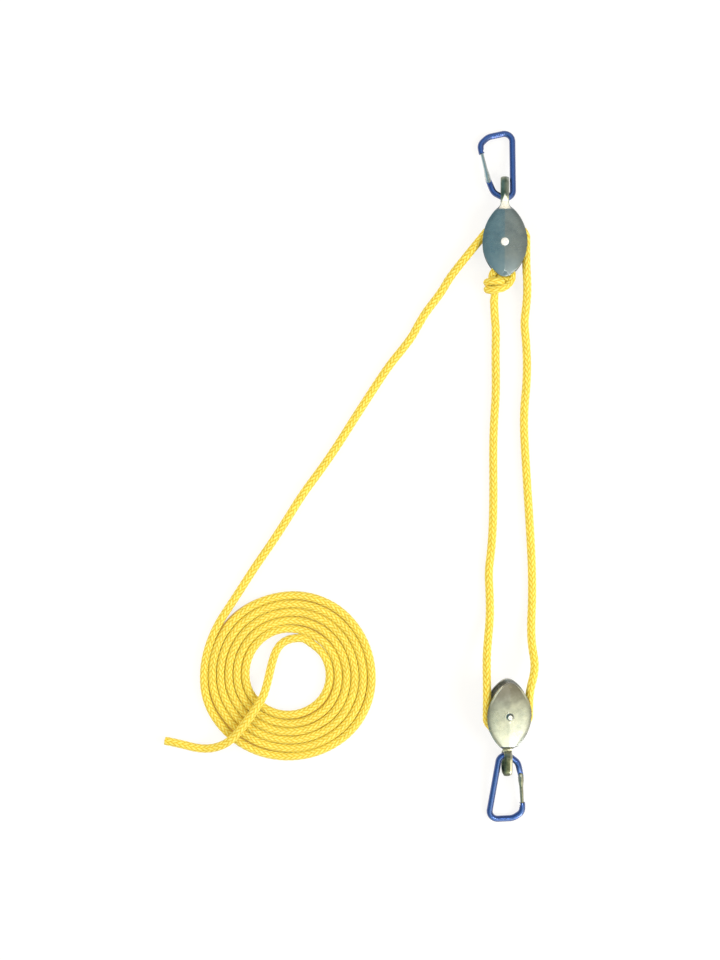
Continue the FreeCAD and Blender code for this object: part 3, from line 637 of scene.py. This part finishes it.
# colour of the painted highlight on the near cheek's brink
HIGHLIGHT_TONE = (0.80, 0.80, 0.70)
STAIN_ROUGHNESS = 0.12
EYE_ROUGHNESS = 0.08
EYE_CONTRAST = (2.4, -0.7)
# the fold's painted reflection is shaded mostly as pale non-metal
FOLD_DULLS_METAL = 0.8


def cheek_wear(n, look, across, along, near, uneven, colour):
    """Painted shade darkens the cheeks' edges and brink. The tails take a stain that is partly
    painted shade, and a painted highlight brightens the near cheek's brink at the tail.
    Returns the colour, how stained and shaded it is and how far the far cheek is greyed."""
    taper = n.math("MULTIPLY", along, 1.0 / RIM_REACH)
    narrowed = n.math("SUBTRACT", 1.0, n.math("MULTIPLY", taper, taper))
    half_width = n.math("MAXIMUM", n.math("MULTIPLY", narrowed, RIM_HALF), 1.0)
    outwards = n.math("DIVIDE", n.math("ABSOLUTE", across), half_width)
    for limits, share in ((SHADED_EDGE, "edge_shade_share"), (SHADED_BRINK, "brink_shade_share")):
        shaded = n.step(outwards, *limits)
        colour = n.shade(colour, n.math("MULTIPLY_ADD", shaded, -look[share], 1.0))
    tail = n.step(n.math("ADD", along, n.math("MULTIPLY", uneven, STAIN_UNEVEN)), *STAINED_AND_SHADED_TAIL)
    far = n.math("MULTIPLY_ADD", near, -look["far_grey"], look["far_grey"])
    bright = n.math("MULTIPLY", n.math("MULTIPLY", tail, near), n.step(outwards, *HIGHLIGHT_BRINK))
    stain_and_shade = n.math("MULTIPLY", n.math("MULTIPLY", tail, look["stain_and_shade_share"]), near)
    colour = n.mix(stain_and_shade, colour, look["stain_and_shade"])
    colour = n.mix(n.math("MULTIPLY", bright, look["highlight_share"]), colour, HIGHLIGHT_TONE)
    return colour, stain_and_shade, n.math("MULTIPLY", tail, far)


def eye_wear(n, look, across, along, uneven, patches):
    """The colour of neck and eye, darkened with painted shade, with a painted highlight on one
    flank and a painted reflection on the fold; and the fold's share.
    """
    share = n.math("MULTIPLY_ADD", patches, *EYE_CONTRAST)
    neck = n.mix(share, look["neck_dark"], look["neck_light"])
    eye_light_and_shade = n.mix(share, look["dark"], look["light"])
    flank = n.math("MULTIPLY", n.step(across, *FLANK_ACROSS), n.step(along, *FLANK_ALONG))
    eye_light_and_shade = n.mix(n.math("MULTIPLY", flank, look["flank_highlight_share"]), eye_light_and_shade, look["rubbed"])
    eye_light_and_shade = n.mix(n.step(n.math("ADD", along, uneven), *NECK_END), neck, eye_light_and_shade)
    half = n.math("MULTIPLY_ADD", along, -FOLD_SLOPE, FOLD_SLOPE * FOLD_TIP)
    fold = n.step(n.math("SUBTRACT", half, n.math("ABSOLUTE", across)), *FOLD_SIDES)
    fold = n.math("MULTIPLY", fold, look["fold_reflection_share"])
    return n.mix(fold, eye_light_and_shade, look["rubbed"]), fold


def shell_wear(n, where, colour, roughness, patches, block):
    """Wear, painted shade, painted highlights and a painted reflection on a shell's cheeks, neck
    and eye, each by its place on the block.
    """
    look = SHELL_WEAR[block]
    across = block_axis(n, where, block, (look["flank"], 0.0, 0.0))
    along = block_axis(n, where, block, (0.0, 1.0, 0.0))
    near = n.step(block_axis(n, where, block, (0.0, 0.0, 1.0)), *NEAR_CHEEK)
    uneven = n.math("MULTIPLY_ADD", patches, UNEVEN, -UNEVEN / 2)
    colour, stain_and_shade, greyed = cheek_wear(n, look, across, along, near, uneven, colour)
    roughness = n.math("MULTIPLY_ADD", stain_and_shade, STAIN_ROUGHNESS, roughness)
    # painted shade on neck and eye, with a painted highlight on one flank and a painted reflection
    # on the fold
    eye_light_and_shade, fold = eye_wear(n, look, across, along, uneven, patches)
    eye = n.step(n.math("ADD", along, n.math("MULTIPLY", uneven, EYE_UNEVEN)), *EYE_START)
    metal = n.math("MULTIPLY", n.math("MULTIPLY", eye, fold), FOLD_DULLS_METAL)
    metal = n.math("SUBTRACT", n.math("SUBTRACT", 1.0, metal), greyed)
    roughness = n.math("MULTIPLY_ADD", eye, EYE_ROUGHNESS, roughness)
    return n.mix(eye, colour, eye_light_and_shade), roughness, metal


# A worn rivet, in mm from its middle
GROOVE_IN = (1.7, 2.1)
GROOVE_OUT = (2.7, 3.2)
RIVET_RIM = (2.5, 2.9)
# grime and painted shade in the rivet's groove
GROOVE_GRIME_AND_SHADE = (0.22, 0.21, 0.17)


def rivet_wear(n, where, colour, roughness, patches, block):
    """Grime and painted shade darken the groove between a rivet's worn middle and its rim."""
    squares = []
    for axis in ((1.0, 0.0, 0.0), (0.0, 1.0, 0.0)):
        place = block_axis(n, where, block, axis)
        squares.append(n.math("MULTIPLY", place, place))
    out = n.math("SQRT", n.math("ADD", *squares))
    groove = n.math("SUBTRACT", n.step(out, *GROOVE_IN), n.step(out, *GROOVE_OUT))
    rim = n.mix(n.step(out, *RIVET_RIM), colour, SHELL_DARK)
    return n.mix(groove, rim, GROOVE_GRIME_AND_SHADE), roughness, 1.0


# painted light and shade: deep blue on the flanks, paler blue on faces that look up or down
BLUE_DEEP = (0.016, 0.058, 0.250)
BLUE_PAINTED_LIT = (0.085, 0.190, 0.640)
BARE_ALUMINIUM = (0.42, 0.48, 0.60)
PAINTED_LIT_FACING = (0.84, 1.0)     # how squarely a face looks up or down to take the painted-lit blue
PAINTED_LIT_PATCHES = (0.5, 0.75)
WORN_SPECKS = 0.74         # only noise above this is a worn speck
WORN_SHARE = 0.5
DRAWN_LEVEL = (0.16, 0.92)
DRAWN_ROUGHNESS = (0.12, 0.22)


def anodised_material():
    """Blue anodised bar: a satin metal colour under a clear hard skin, with painted shade deep on
    its flanks and painted light paler on the faces that look up and down."""
    n = Nodes(bpy.data.materials.new("blue_anodised"))
    where = n.place()
    patches = n.noise(where, scale=160.0)
    drawn = n.noise(n.stretched(1500.0, 180.0, 1500.0), scale=1.0, detail=2.0, roughness=0.6)
    specks = n.noise(where, scale=1400.0, detail=3.0, roughness=0.7)
    up = n.split(n.add("ShaderNodeTexCoord").outputs["Normal"])[2]
    # painted light: faces that look up or down are paler
    painted_lit = n.step(n.math("ABSOLUTE", up), *PAINTED_LIT_FACING)
    painted_lit = n.math("MULTIPLY", painted_lit, n.math("MULTIPLY_ADD", patches, *PAINTED_LIT_PATCHES))
    colour = n.mix(painted_lit, BLUE_DEEP, BLUE_PAINTED_LIT)
    worn = n.math("MULTIPLY", n.math("GREATER_THAN", specks, WORN_SPECKS), WORN_SHARE)
    colour = n.mix(worn, colour, BARE_ALUMINIUM)
    colour = n.shade(colour, n.math("MULTIPLY_ADD", drawn, *DRAWN_LEVEL))
    roughness = n.math("MULTIPLY_ADD", drawn, *DRAWN_ROUGHNESS)
    normal = n.bump(drawn, strength=0.06, distance=0.0003)
    return n.finish(colour, roughness, normal, Metallic=0.85, Coat_Weight=0.9, Coat_Roughness=0.14,
                    Coat_IOR=1.65)


# Painted shade: in the crevices between the coil's turns the table glows orange-brown instead of
# white.
# The crevices keep to a ring: centre, and where it starts and ends
CREVICE_INNER = ((*COIL_CENTRE, 0.0), 36.6, 37.6)
CREVICE_OUTER = ((-190.6, -174.7, 0.0), 72.4, 71.6)
CREVICE_SHADE = (0.56, 0.28, 0.02)
TABLE_GREY = (0.80, 0.80, 0.80)        # as the object is lit by it
TABLE_GREY_SEEN = (0.22, 0.22, 0.22)   # and as it is seen, with its glow
TABLE_GLOW = 0.80
TABLE_HALF = 4.0           # metres
TABLE_Z = -0.0003


def floor_material():
    """White table that keeps a soft shadow and shows as white to the camera, with painted shade in
    orange-brown in the crevices of the coil."""
    n = Nodes(bpy.data.materials.new("white_table"))
    n.put(0.9, n.shader.inputs["Roughness"])
    path = n.add("ShaderNodeLightPath")
    seen = n.math("MAXIMUM", path.outputs["Is Camera Ray"], path.outputs["Is Glossy Ray"])
    place = n.add("ShaderNodeNewGeometry").outputs["Position"]
    limits = []
    for centre, start, end in (CREVICE_INNER, CREVICE_OUTER):
        distance = n.vector("DISTANCE", place, tuple(Vector(centre) * MM), "Value")
        limits.append(n.step(distance, start * MM, end * MM))
    n.put(n.mix(seen, TABLE_GREY, TABLE_GREY_SEEN), n.shader.inputs["Base Color"])
    glow = n.add("ShaderNodeEmission")
    # painted shade: orange-brown glow in the coil's crevices
    n.put(n.mix(n.math("MULTIPLY", *limits), WHITE, CREVICE_SHADE), glow.inputs["Color"])
    n.put(n.math("MULTIPLY", seen, TABLE_GLOW), glow.inputs["Strength"])
    both = n.add("ShaderNodeAddShader")
    n.put(n.shader.outputs[0], both.inputs[0])
    n.put(glow.outputs[0], both.inputs[1])
    n.put(both.outputs[0], n.tree.nodes["Material Output"].inputs["Surface"])
    return n.owner


# ---------------------------------------------------------------- rope pieces
yellow = rope_material()
falls, falls_path = rope_tube("rope_falls", smooth_line(route_of_falls()), FALLS_STEP)
hauling, hauling_path = rope_tube("rope_hauling", smooth_line(route_of_hauling()), HAULING_STEP)
knot = rope_tube("rope_tied_end", smooth_line(KNOT_LINE), KNOT_STEP, KNOT_CROWN_R)[0]
for piece in (falls, hauling, knot):
    piece.data.materials.append(yellow)

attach(knot, "upper_block")
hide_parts("rope_knot")
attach(hauling, "upper_block")
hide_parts("rope_lead", "rope_coil", "rope_tail")
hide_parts("rope_left_fall", "rope_lower_turn", "rope_right_fall")
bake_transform(falls)

# ---------------------------------------------------------------- metal parts
SLOTS = {
    "upper_shell": zinc_material("upper_zinc", SHELL_DARK, SHELL_LIGHT,
                                 wear=shell_wear, block="upper"),
    "lower_shell": zinc_material("lower_zinc", SHELL_DARK, SHELL_LIGHT,
                                 wear=shell_wear, block="lower"),
    # painted reflection: the upper rivet is near-white and mostly non-metal in place of mirroring
    # white surroundings
    "upper_axle_rivet": zinc_material("upper_rivet", (0.93, 0.95, 0.97), (0.99, 0.99, 0.99),
                                      rough=0.34, metal=0.12),
    "lower_axle_rivet": zinc_material("lower_rivet", (0.88, 0.88, 0.88), (0.99, 0.99, 0.99),
                                      rough=0.30, wear=rivet_wear, block="lower"),
    "sheave_zinc": zinc_material("sheave_cast", (0.46, 0.46, 0.44), (0.60, 0.60, 0.57),
                                 rough=0.42),
    "blue_bar": anodised_material(),
    "upper_gate": zinc_material("upper_gate_plate", (0.56, 0.62, 0.60), (0.76, 0.79, 0.76),
                                rough=0.24, grain=2.0),
    # painted shade: the lower gate is a darker copy of the upper gate's plate
    "lower_gate": zinc_material("lower_gate_plate", (0.24, 0.25, 0.20), (0.44, 0.44, 0.36),
                                rough=0.24, grain=2.0),
    "small_steel": zinc_material("small_parts", (0.60, 0.61, 0.60), (0.74, 0.74, 0.72),
                                 rough=0.26, grain=2.0),
}
PART_SLOTS = {             # for nodes that have no material of their own
    "axle_sleeve": "small_steel", "sheave": "sheave_zinc", "carabiner_body": "blue_bar",
    "gate_hinge_pin": "small_steel", "gate_latch_pin": "small_steel",
    "gate_plunger": "small_steel", "gate_spring": "small_steel",
}
WELD_DISTANCE = 0.00001
BEVEL_WIDTH = 0.00028
BEVEL_SEGMENTS = 2
BEVEL_ANGLE = 40.0         # edges sharper than this are bevelled
for name, node in frame["nodes"].items():
    if name.startswith("rope"):
        continue
    block, part = name.split("_", 1)
    node.data.materials.clear()
    finish = block + "_shell" if part == "becket_pin" else name
    node.data.materials.append(SLOTS[finish if finish in SLOTS else PART_SLOTS[part]])
    weld = node.modifiers.new("weld", "WELD")
    weld.merge_threshold = WELD_DISTANCE
    bevel = node.modifiers.new("bevel", "BEVEL")
    bevel.width = BEVEL_WIDTH
    bevel.segments = BEVEL_SEGMENTS
    bevel.limit_method = "ANGLE"
    bevel.angle_limit = math.radians(BEVEL_ANGLE)
    bevel.harden_normals = True

# ---------------------------------------------------------------- floor, light and camera
floor_mesh = bpy.data.meshes.new("table")
floor_mesh.from_pydata([(x * TABLE_HALF, y * TABLE_HALF, TABLE_Z)
                        for x, y in ((-1, -1), (1, -1), (1, 1), (-1, 1))], [], [(0, 1, 2, 3)])
floor = bpy.data.objects.new("table", floor_mesh)
bpy.context.scene.collection.objects.link(floor)
floor_mesh.materials.append(floor_material())

SKY_SOUTH_EAST = (0.32, -0.95)
SKY_TONES = [              # from north-west to south-east
    (0.0, (0.33, 0.38, 0.40)), (0.50, (0.34, 0.38, 0.38)), (0.62, (0.34, 0.36, 0.31)),
    (0.70, (0.30, 0.29, 0.20)), (0.80, (0.92, 0.90, 0.64)), (0.93, (2.15, 2.10, 1.66)),
]
SKY_SIDES = (-0.13, 0.02)  # the west's tint gives way to the east's
WEST_TINT = (0.62, 1.04, 1.24)
EAST_TINT = (1.24, 1.22, 1.14)
SKY_LOW = (0.42, 0.10)     # the sky gives way to the horizon
HORIZON = (0.95, 0.96, 0.97)
AMBIENT = (0.68, 0.62, 0.50)
LAMP_TARGET = (-0.1, 0.0, 0.0)
LAMPS = [                  # name, place, size, watts, colour and whether it is a glint
    ("key", (1.25, -0.45, 1.05), 1.2, 22.8, (0.98, 1.0, 1.0), False),
    ("fill", (-1.35, 0.35, 1.0), 1.2, 11.0, (1.0, 0.95, 0.86), False),
    ("glint", (0.30, -0.48, 1.60), 0.28, 3.2, WHITE, True),
    ("low_glint", (0.9, -1.8, 0.55), 0.50, 10.0, WHITE, True),
]
CAMERA_AT = (-0.1265, -0.0032, 1.4)
SENSOR_HEIGHT = 36.0
LENS = 59.66


def world_light():
    """White to the camera and an even ambient light on the object. What the object reflects
    is dim above and to the north-west, bright to the south-east and all round the horizon."""
    world = bpy.data.worlds.new("studio")
    bpy.context.scene.world = world
    n = Nodes(world, "Background")
    x, y, z = n.split(n.add("ShaderNodeTexCoord").outputs["Generated"])
    east, north = SKY_SOUTH_EAST
    towards = n.math("ADD", n.math("MULTIPLY", x, east), n.math("MULTIPLY", y, north))
    sky = n.ramp(n.math("MULTIPLY_ADD", towards, 0.5, 0.5), SKY_TONES)
    sky = n.vector("MULTIPLY", sky, n.mix(n.step(x, *SKY_SIDES), WEST_TINT, EAST_TINT))
    sky = n.mix(n.step(z, *SKY_LOW), sky, HORIZON)
    path = n.add("ShaderNodeLightPath")
    light = n.mix(path.outputs["Is Glossy Ray"], AMBIENT, sky)
    n.put(n.mix(path.outputs["Is Camera Ray"], light, WHITE), n.shader.inputs["Color"])
    n.put(1.0, n.shader.inputs["Strength"])


def area_light(name, place, size, power, colour, glint):
    """A round soft lamp. A glint lamp shows only as a reflection, the others only as light."""
    light = bpy.data.lights.new(name, "AREA")
    light.shape = "DISK"
    light.size = size
    light.energy = power
    light.color = colour
    lamp = bpy.data.objects.new(name, light)
    lamp.location = place
    aim = Vector(LAMP_TARGET) - Vector(place)
    lamp.rotation_euler = aim.to_track_quat("-Z", "Y").to_euler()
    lamp.visible_glossy = glint
    lamp.visible_diffuse = not glint
    bpy.context.scene.collection.objects.link(lamp)


world_light()
for lamp in LAMPS:
    area_light(*lamp)

camera_data = bpy.data.cameras.new("camera")
camera_data.sensor_fit = "VERTICAL"
camera_data.sensor_height = SENSOR_HEIGHT
camera_data.lens = LENS
camera = bpy.data.objects.new("camera", camera_data)
camera.location = CAMERA_AT
bpy.context.scene.collection.objects.link(camera)
bpy.context.scene.camera = camera

bpy.context.scene.view_settings.view_transform = "Standard"
